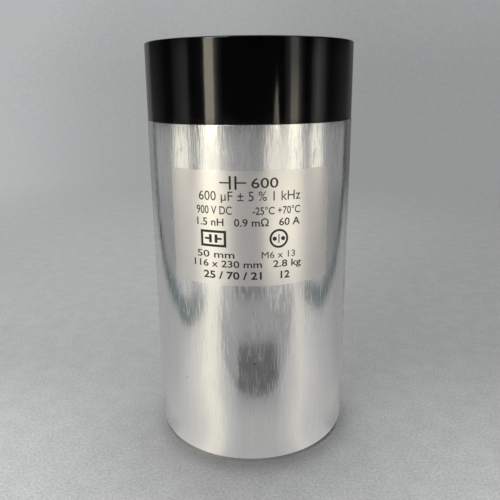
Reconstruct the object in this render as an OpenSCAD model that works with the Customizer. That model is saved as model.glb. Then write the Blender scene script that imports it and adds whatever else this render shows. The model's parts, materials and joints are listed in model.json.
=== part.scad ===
// Film capacitor for a DC link: a drawn aluminium can, closed by a moulded cover that
// carries two threaded terminals, with three windings in parallel potted inside.
// Millimetres. The origin is the centre of the base, on the surface that the can stands on.
// +Z runs up the can, the terminals lie along X, and the label faces -Y.

/* [Can] */
// Outside diameter of the can
can_d = 116; // [108:1:140]
// Height of the can, from its base to its rim
can_h = 189.5; // [150:0.5:260]
// Thickness of the can's side wall
can_wall = 1.2; // [0.8:0.1:2]
// Thickness of the can's base
can_floor = 1.6; // [1:0.1:3]
// Outside radius where the side wall turns into the base
base_round = 5; // [3:0.5:8]
// Radius that breaks the outside edge of the can's rim
rim_round = 0.5; // [0.2:0.1:0.7]

/* [Cover] */
// Height of the cover above the can's rim
cover_h = 40.5; // [34:0.5:60]
// How far the foot of the cover's side stands back from the can's side
cover_step = 0.2; // [0.05:0.05:0.6]
// Moulding draft: how far the cover's side leans in from its foot to its top edge
cover_draft = 0.2; // [0.05:0.05:0.6]
// Radius of the cover's top edge
edge_round = 0.8; // [0.5:0.1:3]
// Width of the raised band round the cover's top
band_w = 5; // [3.5:0.5:8]
// Depth of the deck below the raised band
deck_drop = 2; // [0.5:0.1:2.5]
// Thickness of the deck
deck_t = 4; // [2.5:0.5:6]
// Radius between the inside of the cover's wall and the deck
deck_fillet = 3; // [1:0.5:5]
// Length of the skirt that plugs into the can
skirt_l = 9; // [7:0.5:14]
// Thickness of the skirt
skirt_t = 2; // [1.5:0.1:3]
// Gap between the skirt and the can's wall
skirt_gap = 0.15; // [0.05:0.05:0.4]
// Width of each notch in the skirt, where the potting keys in
notch_w = 10; // [4:0.5:14]
// Height of each notch in the skirt
notch_h = 5; // [2:0.5:6]
// Thickness of the ribs between the cover's wall and its deck
rib_t = 2; // [1.5:0.1:3]
// Length of those ribs, inwards from the wall
rib_l = 8; // [6:0.5:11]
// Depth of those ribs below the deck
rib_h = 9; // [6:0.5:12]

/* [Terminals] */
// Distance between the two terminals
terminal_pitch = 50; // [44:1:56]
// Diameter of the terminal's contact face
terminal_d = 16; // [13:0.5:17]
// Height of the contact face above the cover's band
terminal_rise = 3; // [1.5:0.1:6]
// Bore of the M6 thread, at its tapping size
thread_bore = 5; // [4:0.1:6]
// Depth of the full thread
thread_depth = 13; // [8:0.5:16]
// Diameter of the countersink at the mouth of the thread
thread_mouth = 6.6; // [6.2:0.1:8]
// Break on the edge of the contact face
face_break = 0.4; // [0.2:0.1:0.8]
// Width across flats of the hexagon that keeps the terminal from turning
collar_af = 19; // [17.5:0.5:20]
// Height of that hexagon
collar_h = 5; // [3:0.5:6]
// Diameter of the terminal below the hexagon
shank_d = 13; // [11.5:0.5:15]
// Diameter of the stud that the lead's eye sits on
stud_d = 8; // [6:0.5:9]
// Diameter of the peened head that holds the eye
peen_d = 11; // [10:0.5:12.5]
// Thickness of the peened head
peen_t = 1.2; // [0.8:0.1:2]

/* [Turrets] */
// Diameter of the collar of plastic round each terminal
turret_d = 27; // [25:0.5:30]
// How far the turret's top stays below the contact face
turret_drop = 1; // [0.4:0.1:1.4]
// Width of the step round the foot of each turret
turret_step = 3; // [1.5:0.5:5]
// Rounding of the turrets' and the barrier's edges
turret_round = 0.8; // [0.3:0.1:1]
// Length of the boss that carries the terminal below the deck
boss_l = 10; // [8:0.5:11]
// Length of the barrier between the terminals
barrier_l = 40; // [20:1:60]
// Thickness of the barrier
barrier_t = 3; // [2:0.5:5]
// Height of the barrier above the cover's band
barrier_rise = 2; // [1:0.1:4]

/* [Filling ports] */
// Distance of the two filling ports from the middle
port_reach = 40; // [36:0.5:41]
// Angle of the first port, from the line of the terminals
port_angle = 60; // [50:1:75]
// Diameter of each port
port_d = 9; // [6:0.5:10]
// Diameter of the plug's head
plug_head_d = 13; // [12:0.5:15]
// Thickness of the plug's head
plug_head_t = 1.2; // [0.8:0.1:2]
// Length of the plug below its head
plug_l = 7; // [4.5:0.5:9]

/* [Windings] */
// Outside diameter of the tube that the film is wound on
core_d = 14; // [12.5:0.5:20]
// Bore of that tube
core_bore = 10; // [6:0.5:11]
// Thickness of the metal sprayed on each end of a winding
spray_t = 0.6; // [0.4:0.1:1]
// Thickness of the plain film wrapped round each winding
wrap_t = 0.8; // [0.4:0.1:1.5]
// Gap between the wrap and the bends of the leads that run up beside it
wrap_gap = 0.2; // [0.1:0.1:1]
// Space between the windings and the deck
head_space = 24; // [23:1:40]

/* [Leads] */
// Width of the copper strip
lead_w = 18; // [14:1:20]
// Thickness of the copper strip
lead_t = 0.8; // [0.5:0.1:1.2]
// Inside radius of the strip's bends
lead_bend = 0.8; // [0.4:0.1:1.5]
// Gap between the leads' edges and the inside of the cover
lead_gap = 0.8; // [0.5:0.1:2]
// How far each strip stops short of the winding's far edge
strip_margin = 14; // [8:1:16]
// Gap round the stud in the lead's eye
eye_gap = 0.1; // [0.05:0.05:0.3]
// Width of the tongue that a strap puts through a lead
tongue_w = 10; // [6:0.5:12]
// Gap round that tongue
tongue_gap = 0.1; // [0.05:0.05:0.2]
// How far the tongue stands out of the lead
tongue_proud = 0.4; // [0.2:0.1:0.8]
// Diameter of the soldering holes
solder_d = 5; // [3:0.5:6]
// Distance from one soldering hole to the next
solder_pitch = 11; // [7:0.5:12]

/* [Insulation and potting] */
// Thickness of the liner against the can's wall
liner_t = 0.8; // [0.4:0.1:1.4]
// Gap between the top of the liner and the skirt
liner_gap = 1; // [0.5:0.5:3]
// Thickness of the spacer under the windings
spacer_t = 3.2; // [2:0.1:6]
// Gap between the edge of the spacer and the rounded corner of the can
spacer_gap = 0.5; // [0.2:0.1:2]
// Diameter of the flow holes in the spacer
flow_hole_d = 12; // [6:1:16]
// Distance of the flow holes from the middle
flow_hole_reach = 32; // [26:1:38]
// Depth of potting over the uppermost strap
potting_over = 8; // [4:0.5:9]

/* [Label] */
// Width of the label, along the can's surface
label_w = 90; // [50:1:120]
// Height of the label
label_h = 60; // [30:1:70]
// Height of the label's lower edge above the base
label_z = 107.5; // [20:0.5:110]
// Thickness of the label
label_t = 0.12; // [0.1:0.01:0.2]

/* [Hidden] */

$fn = 192;

// Cutters run past the faces that they cut by this much
over = 0.5;
// Windings in the stack, counted from 0 at the bottom
windings = 3;
// Ribs under the deck and notches in the skirt, set between the leads
rib_count = 8;
notch_count = 8;
flow_hole_count = 6;
// Slope of a twist drill's point, measured from the axis
drill_point = 59;

// Colours of the materials
ALUMINIUM = [0.80, 0.80, 0.79];
BLACK_PLASTIC = [0.04, 0.04, 0.045];
LABEL_FILM = [0.76, 0.75, 0.73];
BRASS = [0.80, 0.65, 0.36];
PLUG_RUBBER = [0.10, 0.10, 0.11];
COPPER = [0.78, 0.45, 0.30];
SOLDER = [0.70, 0.71, 0.73];
ZINC = [0.55, 0.56, 0.58];
FILM = [0.83, 0.84, 0.86];
TUBE_PLASTIC = [0.90, 0.88, 0.82];
WRAP_FILM = [0.86, 0.86, 0.80];
PRESSBOARD = [0.66, 0.55, 0.38];
LINER = [0.88, 0.86, 0.74];
RESIN = [0.16, 0.14, 0.12];

// Can
can_r = can_d / 2;
can_ir = can_r - can_wall;
base_ir = base_round - can_wall;

// Cover, from the outside in and from the bottom up
total_h = can_h + cover_h;
cover_r = can_r - cover_step;
cover_top_r = cover_r - cover_draft;
skirt_r = can_ir - skirt_gap;
cover_ir = skirt_r - skirt_t;
skirt_z = can_h - skirt_l;
deck_top = total_h - deck_drop;
deck_under = deck_top - deck_t;
deck_r = cover_top_r - band_w;

// Terminals: heights of the steps, from the top down
terminal_x = terminal_pitch / 2;
face_z = total_h + terminal_rise;
turret_z = face_z - turret_drop;
boss_z = deck_under - boss_l;
collar_z = (deck_top + boss_z - collar_h) / 2;
turret_r = turret_d / 2;
eye_z = boss_z - lead_t;

// Leads: the outer corners of a strip stay clear of the cover's wall
lead_corner_r = cover_ir - lead_gap;
lead_out = sqrt(pow(lead_corner_r, 2) - pow(lead_w / 2, 2));
lead_in = lead_out - lead_t;

// Windings: what the can, the leads and the wrap leave
wrap_r = lead_in - lead_bend - wrap_gap;
winding_r = wrap_r - wrap_t;
strip_reach = winding_r - strip_margin;
strap_shoulder = sqrt(pow(winding_r, 2) - pow(lead_w / 2, 2));
stack_z = can_floor + spacer_t;
stack_top = deck_under - head_space;
winding_h = (stack_top - stack_z - (windings + 1) * lead_t) / windings;

// Insulation and potting
liner_z = can_floor + base_ir;
liner_top = skirt_z - liner_gap;
spacer_r = can_ir - base_ir - spacer_gap;
potting_top = stack_top + potting_over;

// Label
label_angle = label_w / can_r * 180 / PI;

// Lower face of copper strip i, which lies below winding i or above the last one
function strip_z(i) = stack_z + i * (winding_h + lead_t);

// Lower face of winding i
function winding_z(i) = strip_z(i) + lead_t;

// Soldering holes are spread over both halves of a strip, clear of its middle hole
function solder_places() =
    let (first = core_bore / 2 + solder_d)
    [for (side = [-1, 1], u = [first : solder_pitch : strip_reach]) side * u];

// What a rounding of radius r removes from a square corner at [r, r]
module corner_waste(r) {
    difference() {
        square(r + over);
        circle(r);
    }
}

// A disc of height h whose upper edge is rounded
module rounded_disc(r, h, round) {
    rotate_extrude()
        difference() {
            square([r, h]);
            translate([r - round, h - round]) corner_waste(round);
        }
}

// Draws its children on the right, where they are placed, or mirrored to the left
module on_side(side) {
    mirror([side == "left" ? 1 : 0, 0, 0]) children();
}

// A tube from z to z + h
module tube(outer_r, inner_r, z, h) {
    translate([0, 0, z])
        difference() {
            cylinder(r = outer_r, h = h);
            translate([0, 0, -over]) cylinder(r = inner_r, h = h + 2 * over);
        }
}

// ---- Can ----

// Half section of the space inside the can, with its rounded lower corner
module can_cavity_profile() {
    difference() {
        translate([0, can_floor]) square([can_ir, can_h]);
        translate([can_ir - base_ir, can_floor + base_ir])
            mirror([0, 1]) corner_waste(base_ir);
    }
}

module can() {
    color(ALUMINIUM)
        rotate_extrude()
            difference() {
                square([can_r, can_h]);
                translate([can_r - base_round, base_round])
                    mirror([0, 1]) corner_waste(base_round);
                translate([can_r - rim_round, can_h - rim_round])
                    corner_waste(rim_round);
                can_cavity_profile();
            }
}

// ---- Cover ----

// Half section of the cover's shell: drafted side, rounded top edge, sunk deck and skirt
module cover_profile() {
    difference() {
        union() {
            polygon([
                [0, can_h], [cover_r, can_h],
                [cover_top_r, total_h - edge_round], [0, total_h - edge_round]
            ]);
            translate([0, total_h - edge_round])
                square([cover_top_r - edge_round, edge_round]);
            translate([cover_top_r - edge_round, total_h - edge_round])
                circle(edge_round);
            translate([0, skirt_z]) square([skirt_r, skirt_l]);
        }
        translate([0, deck_top]) square([deck_r, deck_drop + over]);
        difference() {
            translate([0, skirt_z - over])
                square([cover_ir, deck_under - skirt_z + over]);
            translate([cover_ir - deck_fillet, deck_under - deck_fillet])
                corner_waste(deck_fillet);
        }
    }
}

// Ribs that tie the deck to the wall, tapered towards the wall's foot
module cover_ribs() {
    for (i = [0 : rib_count - 1])
        rotate([0, 0, (i + 0.5) * 360 / rib_count])
            rotate([90, 0, 0])
                linear_extrude(rib_t, center = true)
                    polygon([
                        [cover_ir - rib_l, deck_under + over],
                        [cover_ir + over, deck_under + over],
                        [cover_ir + over, deck_under - rib_h],
                        [cover_ir, deck_under - rib_h],
                        [cover_ir - rib_l, deck_under - rib_h / 3]
                    ]);
}

// Turret above the deck and boss below it, round the right-hand terminal
module turret() {
    translate([terminal_x, 0, deck_under]) {
        rounded_disc(turret_r, turret_z - deck_under, turret_round);
        rounded_disc(turret_r + turret_step, total_h - deck_under, turret_round);
    }
    translate([terminal_x, 0, boss_z])
        cylinder(r = turret_r, h = deck_under - boss_z + over);
}

// Barrier that lengthens the path between the terminals
module barrier() {
    height = total_h + barrier_rise - deck_under;
    round = min(turret_round, barrier_t / 3);
    translate([0, 0, deck_under])
        rotate([90, 0, 0])
            linear_extrude(barrier_l - barrier_t, center = true)
                barrier_section(height, round);
    for (end = [-1, 1])
        translate([0, end * (barrier_l - barrier_t) / 2, deck_under])
            rounded_disc(barrier_t / 2, height, round);
}

// Section across the barrier, rounded along both upper edges
module barrier_section(height, round) {
    difference() {
        translate([-barrier_t / 2, 0]) square([barrier_t, height]);
        for (side = [0, 1])
            mirror([side, 0])
                translate([barrier_t / 2 - round, height - round])
                    corner_waste(round);
    }
}

module cover_notches() {
    for (i = [0 : notch_count - 1])
        rotate([0, 0, (i + 0.5) * 360 / notch_count])
            translate([cover_ir - over, -notch_w / 2, skirt_z - over])
                cube([skirt_t + 2 * over, notch_w, notch_h + over]);
}

// Repeats its children at both filling ports
module at_ports() {
    for (turn = [0, 180])
        rotate([0, 0, port_angle + turn])
            translate([port_reach, 0, 0]) children();
}

module cover() {
    color(BLACK_PLASTIC)
        difference() {
            union() {
                rotate_extrude() cover_profile();
                cover_ribs();
                barrier();
                for (side = ["left", "right"])
                    on_side(side) turret();
            }
            for (side = ["left", "right"])
                on_side(side) terminal_body();
            cover_notches();
            at_ports()
                translate([0, 0, deck_under - over])
                    cylinder(d = port_d, h = deck_t + 2 * over);
        }
}

// ---- Terminals ----

// The right-hand terminal as far as the cover is moulded round it, without its thread
module terminal_body() {
    translate([terminal_x, 0, 0]) {
        translate([0, 0, boss_z])
            cylinder(d = shank_d, h = collar_z - boss_z + over);
        translate([0, 0, collar_z])
            cylinder(d = collar_af / cos(30), h = collar_h, $fn = 6);
        rotate_extrude()
            polygon([
                [0, collar_z], [terminal_d / 2, collar_z],
                [terminal_d / 2, face_z - face_break],
                [terminal_d / 2 - face_break, face_z], [0, face_z]
            ]);
    }
}

// Threaded hole, with the cone that the drill leaves and its countersunk mouth
module thread_hole() {
    tip = thread_bore / 2 / tan(drill_point);
    mouth = (thread_mouth - thread_bore) / 2;
    translate([terminal_x, 0, face_z - thread_depth]) {
        cylinder(d = thread_bore, h = thread_depth + over);
        translate([0, 0, -tip]) cylinder(d1 = 0, d2 = thread_bore, h = tip);
        translate([0, 0, thread_depth - mouth])
            cylinder(d1 = thread_bore, d2 = thread_mouth, h = mouth);
    }
}

// Stud below the cover's boss, with the peened head that holds the lead's eye
module terminal_stud() {
    translate([terminal_x, 0, eye_z - over])
        cylinder(d = stud_d, h = lead_t + 2 * over);
    translate([terminal_x, 0, eye_z - peen_t])
        cylinder(d = peen_d, h = peen_t);
}

module terminal(side) {
    color(BRASS)
        on_side(side)
            difference() {
                union() {
                    terminal_body();
                    terminal_stud();
                }
                thread_hole();
            }
}

// ---- Filling plugs ----

module fill_plugs() {
    color(PLUG_RUBBER)
        at_ports() {
            translate([0, 0, deck_top])
                rounded_disc(plug_head_d / 2, plug_head_t, plug_head_t / 2);
            translate([0, 0, deck_top - plug_l])
                cylinder(d = port_d, h = plug_l + plug_head_t / 2);
        }
}

// ---- Copper leads and straps ----

// A block with its two right-hand corners rounded
module nosed_block(left, right, bottom, top, round) {
    difference() {
        translate([left, bottom]) square([right - left, top - bottom]);
        translate([right - round, top - round]) corner_waste(round);
        translate([right - round, bottom + round]) mirror([0, 1]) corner_waste(round);
    }
}

// Side view of a lead: foot under a winding, rise beside the stack, tail to the terminal
module lead_profile(foot_z) {
    difference() {
        nosed_block(-strip_reach, lead_out, foot_z, boss_z, lead_bend + lead_t);
        nosed_block(-strip_reach - over, lead_in, foot_z + lead_t, eye_z, lead_bend);
        translate([-strip_reach - over, eye_z - over])
            square([strip_reach + over + terminal_x, lead_t + 2 * over]);
    }
}

// Round hole in the middle of a strip and the soldering holes beside it
module strip_holes(z) {
    translate([0, 0, z - over]) cylinder(d = core_bore, h = lead_t + 2 * over);
    for (u = solder_places())
        translate([u, 0, z - over]) cylinder(d = solder_d, h = lead_t + 2 * over);
}

module strip_end(z) {
    translate([-strip_reach, 0, z]) cylinder(d = lead_w, h = lead_t);
}

// A lead whose foot lies at strip foot and that holds the strap at strip slot
module lead(side, foot, slot) {
    color(COPPER)
        on_side(side)
            difference() {
                union() {
                    rotate([90, 0, 0])
                        linear_extrude(lead_w, center = true)
                            lead_profile(strip_z(foot));
                    strip_end(strip_z(foot));
                    translate([terminal_x, 0, eye_z])
                        cylinder(d = lead_w, h = lead_t);
                }
                strip_holes(strip_z(foot));
                translate([terminal_x, 0, eye_z - over])
                    cylinder(d = stud_d + 2 * eye_gap, h = lead_t + 2 * over);
                translate([
                    lead_in - over, -tongue_w / 2 - tongue_gap,
                    strip_z(slot) - tongue_gap
                ])
                    cube([
                        lead_t + 2 * over, tongue_w + 2 * tongue_gap,
                        lead_t + 2 * tongue_gap
                    ]);
            }
}

// A strap across the end of a winding, with a tongue that goes through its lead
module strap(side, place) {
    z = strip_z(place);
    color(COPPER)
        on_side(side)
            difference() {
                union() {
                    translate([-strip_reach, -lead_w / 2, z])
                        cube([strip_reach + strap_shoulder, lead_w, lead_t]);
                    strip_end(z);
                    translate([0, -tongue_w / 2, z])
                        cube([lead_out + tongue_proud, tongue_w, lead_t]);
                }
                strip_holes(z);
            }
}

module solder_joints() {
    color(SOLDER)
        for (i = [0 : windings])
            for (u = solder_places())
                translate([u, 0, strip_z(i)]) cylinder(d = solder_d, h = lead_t);
}

// ---- Windings ----

module winding(i) {
    color(FILM)
        tube(winding_r, core_d / 2, winding_z(i) + spray_t, winding_h - 2 * spray_t);
}

module end_spray(i) {
    color(ZINC)
        for (z = [winding_z(i), winding_z(i) + winding_h - spray_t])
            tube(winding_r, core_d / 2, z, spray_t);
}

module core_tube(i) {
    color(TUBE_PLASTIC)
        tube(core_d / 2, core_bore / 2, winding_z(i), winding_h);
}

module wrap(i) {
    color(WRAP_FILM)
        tube(wrap_r, winding_r, winding_z(i), winding_h);
}

// ---- Insulation and potting ----

module base_spacer() {
    color(PRESSBOARD)
        difference() {
            tube(spacer_r, core_bore / 2, can_floor, spacer_t);
            for (i = [0 : flow_hole_count - 1])
                rotate([0, 0, (i + 0.5) * 360 / flow_hole_count])
                    translate([flow_hole_reach, 0, can_floor - over])
                        cylinder(d = flow_hole_d, h = spacer_t + 2 * over);
        }
}

module can_liner() {
    color(LINER)
        tube(can_ir, can_ir - liner_t, liner_z, liner_top - liner_z);
}

// Skirt of the cover as the potting meets it
module skirt() {
    difference() {
        tube(skirt_r, cover_ir, skirt_z, skirt_l);
        cover_notches();
    }
}

// Everything inside the can that the potting runs round. It can't get between the
// windings, so it meets the stack as one tube, and it rises through the middle.
module potted_parts() {
    base_spacer();
    can_liner();
    skirt();
    tube(wrap_r, core_bore / 2, winding_z(0), strip_z(windings) - winding_z(0));
    lead("left", 0, 2);
    lead("right", 1, 3);
    strap("left", 2);
    strap("right", 3);
    solder_joints();
}

module potting_resin() {
    color(RESIN)
        difference() {
            union() {
                rotate_extrude()
                    intersection() {
                        can_cavity_profile();
                        square([can_ir, can_h]);
                    }
                translate([0, 0, skirt_z])
                    cylinder(r = cover_ir, h = potting_top - skirt_z);
            }
            potted_parts();
        }
}

// ---- Label ----

// Film that follows the can's side, with its middle on -Y
module label() {
    color(LABEL_FILM)
        rotate([0, 0, -90 - label_angle / 2])
            rotate_extrude(angle = label_angle)
                translate([can_r, label_z]) square([label_t, label_h]);
}

can();
cover();
label();
terminal("left");  // left_terminal
terminal("right");  // right_terminal
fill_plugs();
lead("left", 0, 2);  // left_lead
lead("right", 1, 3);  // right_lead
strap("left", 2);  // left_strap
strap("right", 3);  // right_strap
solder_joints();
winding(0);  // lower_winding
end_spray(0);  // lower_end_spray
core_tube(0);  // lower_core_tube
wrap(0);  // lower_wrap
winding(1);  // middle_winding
end_spray(1);  // middle_end_spray
core_tube(1);  // middle_core_tube
wrap(1);  // middle_wrap
winding(2);  // upper_winding
end_spray(2);  // upper_end_spray
core_tube(2);  // upper_core_tube
wrap(2);  // upper_wrap
base_spacer();
can_liner();
potting_resin();
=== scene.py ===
"""Film capacitor for a DC link: the finish of its can, cover, terminals and label.

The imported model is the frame: every piece stands where its solid stands. All sizes are in metres.
+Z runs up the can, the terminals lie along X, and the label faces -Y.
"""

import json
import math

import bmesh
import bpy
from mathutils import Matrix, Vector


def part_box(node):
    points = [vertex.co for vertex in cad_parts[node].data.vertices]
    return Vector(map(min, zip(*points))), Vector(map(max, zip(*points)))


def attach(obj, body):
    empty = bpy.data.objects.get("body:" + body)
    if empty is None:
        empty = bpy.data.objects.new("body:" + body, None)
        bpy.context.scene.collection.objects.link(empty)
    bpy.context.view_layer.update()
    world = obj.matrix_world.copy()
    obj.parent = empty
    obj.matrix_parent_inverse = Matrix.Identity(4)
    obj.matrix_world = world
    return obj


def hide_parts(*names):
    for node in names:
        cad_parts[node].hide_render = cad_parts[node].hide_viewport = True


bl_info = {
    "name": "DC Link Film Capacitor",
    "version": (1, 0, 0),
    "blender": (4, 5, 0),
    "location": "3D Viewport > Sidebar > Capacitor",
    "description": "Makes the can, cover, terminals, plugs and label of a film capacitor",
    "category": "Object",
}

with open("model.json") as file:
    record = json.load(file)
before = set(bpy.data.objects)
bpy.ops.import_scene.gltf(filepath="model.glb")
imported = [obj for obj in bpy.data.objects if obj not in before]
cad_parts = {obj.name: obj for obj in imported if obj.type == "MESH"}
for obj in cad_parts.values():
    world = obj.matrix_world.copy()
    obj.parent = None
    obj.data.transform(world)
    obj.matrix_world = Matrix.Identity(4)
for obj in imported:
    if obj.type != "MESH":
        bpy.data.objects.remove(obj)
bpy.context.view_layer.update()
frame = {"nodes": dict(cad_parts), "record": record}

MM = 0.001
# Steps round the can and the cover, and round a terminal, a plug or a turret
ROUND_STEPS = 384
SMALL_STEPS = 96
# Steps of a rounded edge
EDGE_STEPS = 6
# Radius at the foot of turrets and barrier, as a share of the radius on their edges
FOOT_SHARE = 0.6
# How far a piece reaches into the one that it is joined to, and how far a cutter reaches past
OVERLAP = 0.5 * MM
CUTTER_SPARE = 1 * MM
# Filling ports, on opposite sides of the deck
PORT_COUNT = 2

CAN_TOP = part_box("can")[1]
LINER_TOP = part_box("can_liner")[1]
SPACER_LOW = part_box("base_spacer")[0]
COVER_LOW, COVER_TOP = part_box("cover")
POST_LOW, POST_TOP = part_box("right_terminal")
LEAD_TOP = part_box("right_lead")[1]
PLUG_LOW, PLUG_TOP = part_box("fill_plugs")
LABEL_LOW, LABEL_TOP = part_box("label")
THREAD = next(m for m in frame["record"]["mounts"] if m["name"] == "right_terminal_thread")
THREAD_BORE = THREAD["dims"]["r_mm"] * MM


# ---- Settings ----


def length(name, description, default):
    """A length that a user may change."""
    return bpy.props.FloatProperty(
        name=name, description=description, default=default, min=0, unit="LENGTH", precision=5
    )


def colour(name, description, default):
    """A colour that a user may change."""
    return bpy.props.FloatVectorProperty(
        name=name, description=description, default=default, size=3, min=0, max=1, subtype="COLOR"
    )


class CanSettings(bpy.types.PropertyGroup):
    """Drawn aluminium can."""

    radius: length("Radius", "Outside radius", CAN_TOP.x)
    height: length("Height", "Height of the rim", CAN_TOP.z)
    wall: length("Wall", "Thickness of the side wall", CAN_TOP.x - LINER_TOP.x)
    floor: length("Base", "Thickness of the base", SPACER_LOW.z)
    base_round: length("Base rounding", "Outside radius between side and base", 5 * MM)
    rim_round: length("Rim rounding", "Radius on the outside edge of the rim", 0.15 * MM)
    metal: colour("Metal", "Colour of the aluminium", (0.84, 0.84, 0.83))


class CoverSettings(bpy.types.PropertyGroup):
    """Moulded cover."""

    radius: length("Foot radius", "Outside radius at the foot of the side", COVER_TOP.x)
    draft: length("Draft", "How far the side leans in", 0.2 * MM)
    band_z: length("Band height", "Height of the raised band round the top", 230 * MM)
    band_width: length("Band width", "Width of the raised band", 5 * MM)
    edge_round: length("Edge rounding", "Radius of the top edge", 0.8 * MM)
    deck_drop: length("Deck depth", "Depth of the deck below the band", 2 * MM)
    deck: length("Deck", "Thickness of the deck", 4 * MM)
    fillet: length("Fillet", "Radius between the inside wall and the deck", 3 * MM)
    skirt: length("Skirt", "Thickness of the skirt inside the can", 2 * MM)
    skirt_gap: length("Skirt gap", "Gap between the skirt and the can", 0.15 * MM)
    step_round: length("Small rounding", "Radius of turret and barrier edges", 0.8 * MM)
    turret_radius: length("Turret radius", "Radius round each terminal", 13.5 * MM)
    turret_z: length("Turret height", "Height of the turrets' tops", COVER_TOP.z)
    turret_step: length("Turret step", "Width of the step round each turret", 3 * MM)
    barrier_length: length("Barrier length", "Length of the barrier", 40 * MM)
    barrier_width: length("Barrier width", "Thickness of the barrier", 3 * MM)
    rib_count: bpy.props.IntProperty(
        name="Ribs", description="Ribs under the deck, and notches in the skirt", default=8, min=1
    )
    rib_width: length("Rib width", "Thickness of each rib", 2 * MM)
    rib_length: length("Rib length", "Length of each rib inwards", 8 * MM)
    rib_depth: length("Rib depth", "Depth of each rib below the deck", 9 * MM)
    notch_width: length("Notch width", "Width of each notch in the skirt", 10 * MM)
    notch_height: length("Notch height", "Height of each notch in the skirt", 5 * MM)
    plastic: colour("Plastic", "Colour of the moulding", (0.002, 0.002, 0.0022))


class TerminalSettings(bpy.types.PropertyGroup):
    """Threaded terminals."""

    reach: length("Reach", "Distance of a terminal from the middle", THREAD["pos_m"][0])
    radius: length("Radius", "Radius of the contact face", 8 * MM)
    edge: length("Edge", "Break on the edge of the contact face", 0.4 * MM)
    thread_minor: length("Minor radius", "Radius of the thread's crests", THREAD_BORE)
    thread_major: length("Major radius", "Radius of the thread's roots", 3 * MM)
    thread_pitch: length("Pitch", "Pitch of the thread", 1 * MM)
    thread_depth: length("Thread depth", "Depth of the full thread", 13 * MM)
    mouth: length("Mouth", "Radius of the countersink", 3.3 * MM)
    collar_flats: length("Hexagon", "Width across the hexagon's flats", 19 * MM)
    collar_z: length("Hexagon height", "Height of the hexagon's lower face", 218.5 * MM)
    collar: length("Hexagon thickness", "Thickness of the hexagon", 5 * MM)
    shank: length("Shank", "Radius below the hexagon", 6.5 * MM)
    stud: length("Stud", "Radius of the stud through the lead's eye", 4 * MM)
    peen: length("Peened head", "Radius of the peened head", 5.5 * MM)
    peened: length("Peened thickness", "Thickness of the peened head", 1.2 * MM)
    brass: colour("Brass", "Colour of the metal", (0.80, 0.62, 0.33))


class PlugSettings(bpy.types.PropertyGroup):
    """Plugs in the filling ports."""

    reach: length("Reach", "Distance of the ports from the middle", 40 * MM)
    angle: bpy.props.FloatProperty(
        name="Angle", description="Turn from the line of the terminals",
        default=math.radians(60), subtype="ANGLE",
    )
    port: length("Port", "Radius of each port", 4.5 * MM)
    head: length("Head", "Radius of the plug's head", 6.5 * MM)
    thickness: length("Head thickness", "Thickness of the head", 1.2 * MM)
    rubber: colour("Rubber", "Colour of the plugs", (0.022, 0.022, 0.024))


class LabelSettings(bpy.types.PropertyGroup):
    """Label and its print."""

    width: length("Width", "Width along the can", 90 * MM)
    low: length("Lower edge", "Height of the lower edge", LABEL_LOW.z)
    high: length("Upper edge", "Height of the upper edge", LABEL_TOP.z)
    thickness: length("Thickness", "Thickness of the film", 0.12 * MM)
    corner: length("Corner", "Radius of the corners", 1.2 * MM)
    ink_thickness: length("Ink", "Thickness of the print", 0.03 * MM)
    film: colour("Film", "Colour of the film", (0.94, 0.91, 0.87))
    ink: colour("Ink colour", "Colour of the print", (0.012, 0.012, 0.014))


class StageSettings(bpy.types.PropertyGroup):
    """Camera, floor and light."""

    eye_height: length("Eye height", "Height of the camera", 208.4 * MM)
    eye_distance: length("Eye distance", "Distance of the camera from the axis", 332.9 * MM)
    lens: bpy.props.FloatProperty(
        name="Lens", description="Focal length in millimetres", default=40.465, min=1
    )
    tilt: bpy.props.FloatProperty(
        name="Tilt", description="How far the camera looks down", default=0.2873, subtype="ANGLE"
    )
    roll: bpy.props.FloatProperty(
        name="Roll", description="Turn of the camera about its view", default=-0.0093,
        subtype="ANGLE",
    )
    paper: colour("Paper", "Colour of the floor and backdrop", (0.46, 0.47, 0.475))


class CapacitorSettings(bpy.types.PropertyGroup):
    """All sizes and colours of the capacitor."""

    can: bpy.props.PointerProperty(type=CanSettings)
    cover: bpy.props.PointerProperty(type=CoverSettings)
    terminals: bpy.props.PointerProperty(type=TerminalSettings)
    plugs: bpy.props.PointerProperty(type=PlugSettings)
    label: bpy.props.PointerProperty(type=LabelSettings)
    stage: bpy.props.PointerProperty(type=StageSettings)


# ---- Nodes and materials ----


def add_node(tree, kind, settings=None, sockets=None):
    """Adds a node. Its settings come first, then the values or links of its input sockets."""
    node = tree.nodes.new(kind)
    for name, value in (settings or {}).items():
        setattr(node, name, value)
    for name, value in (sockets or {}).items():
        if isinstance(value, Number):
            value = value.socket
        if isinstance(value, bpy.types.NodeSocket):
            tree.links.new(value, node.inputs[name])
        else:
            node.inputs[name].default_value = value
    return node


class Number:
    """A number in a node tree. Arithmetic on it adds Math nodes."""

    def __init__(self, tree, socket):
        self.tree = tree
        self.socket = socket

    def math(self, operation, *inputs):
        node = add_node(
            self.tree, "ShaderNodeMath", {"operation": operation}, dict(enumerate(inputs))
        )
        return Number(self.tree, node.outputs[0])

    def __add__(self, other):
        return self.math("ADD", self, other)

    def __radd__(self, other):
        return self.math("ADD", other, self)

    def __sub__(self, other):
        return self.math("SUBTRACT", self, other)

    def __rsub__(self, other):
        return self.math("SUBTRACT", other, self)

    def __mul__(self, other):
        return self.math("MULTIPLY", self, other)

    def __rmul__(self, other):
        return self.math("MULTIPLY", other, self)

    def __truediv__(self, other):
        return self.math("DIVIDE", self, other)

    def __abs__(self):
        return self.math("ABSOLUTE", self)

    def at_least(self, other):
        return self.math("MAXIMUM", self, other)

    def at_most(self, other):
        return self.math("MINIMUM", self, other)

    def root(self):
        return self.math("SQRT", self)


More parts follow.
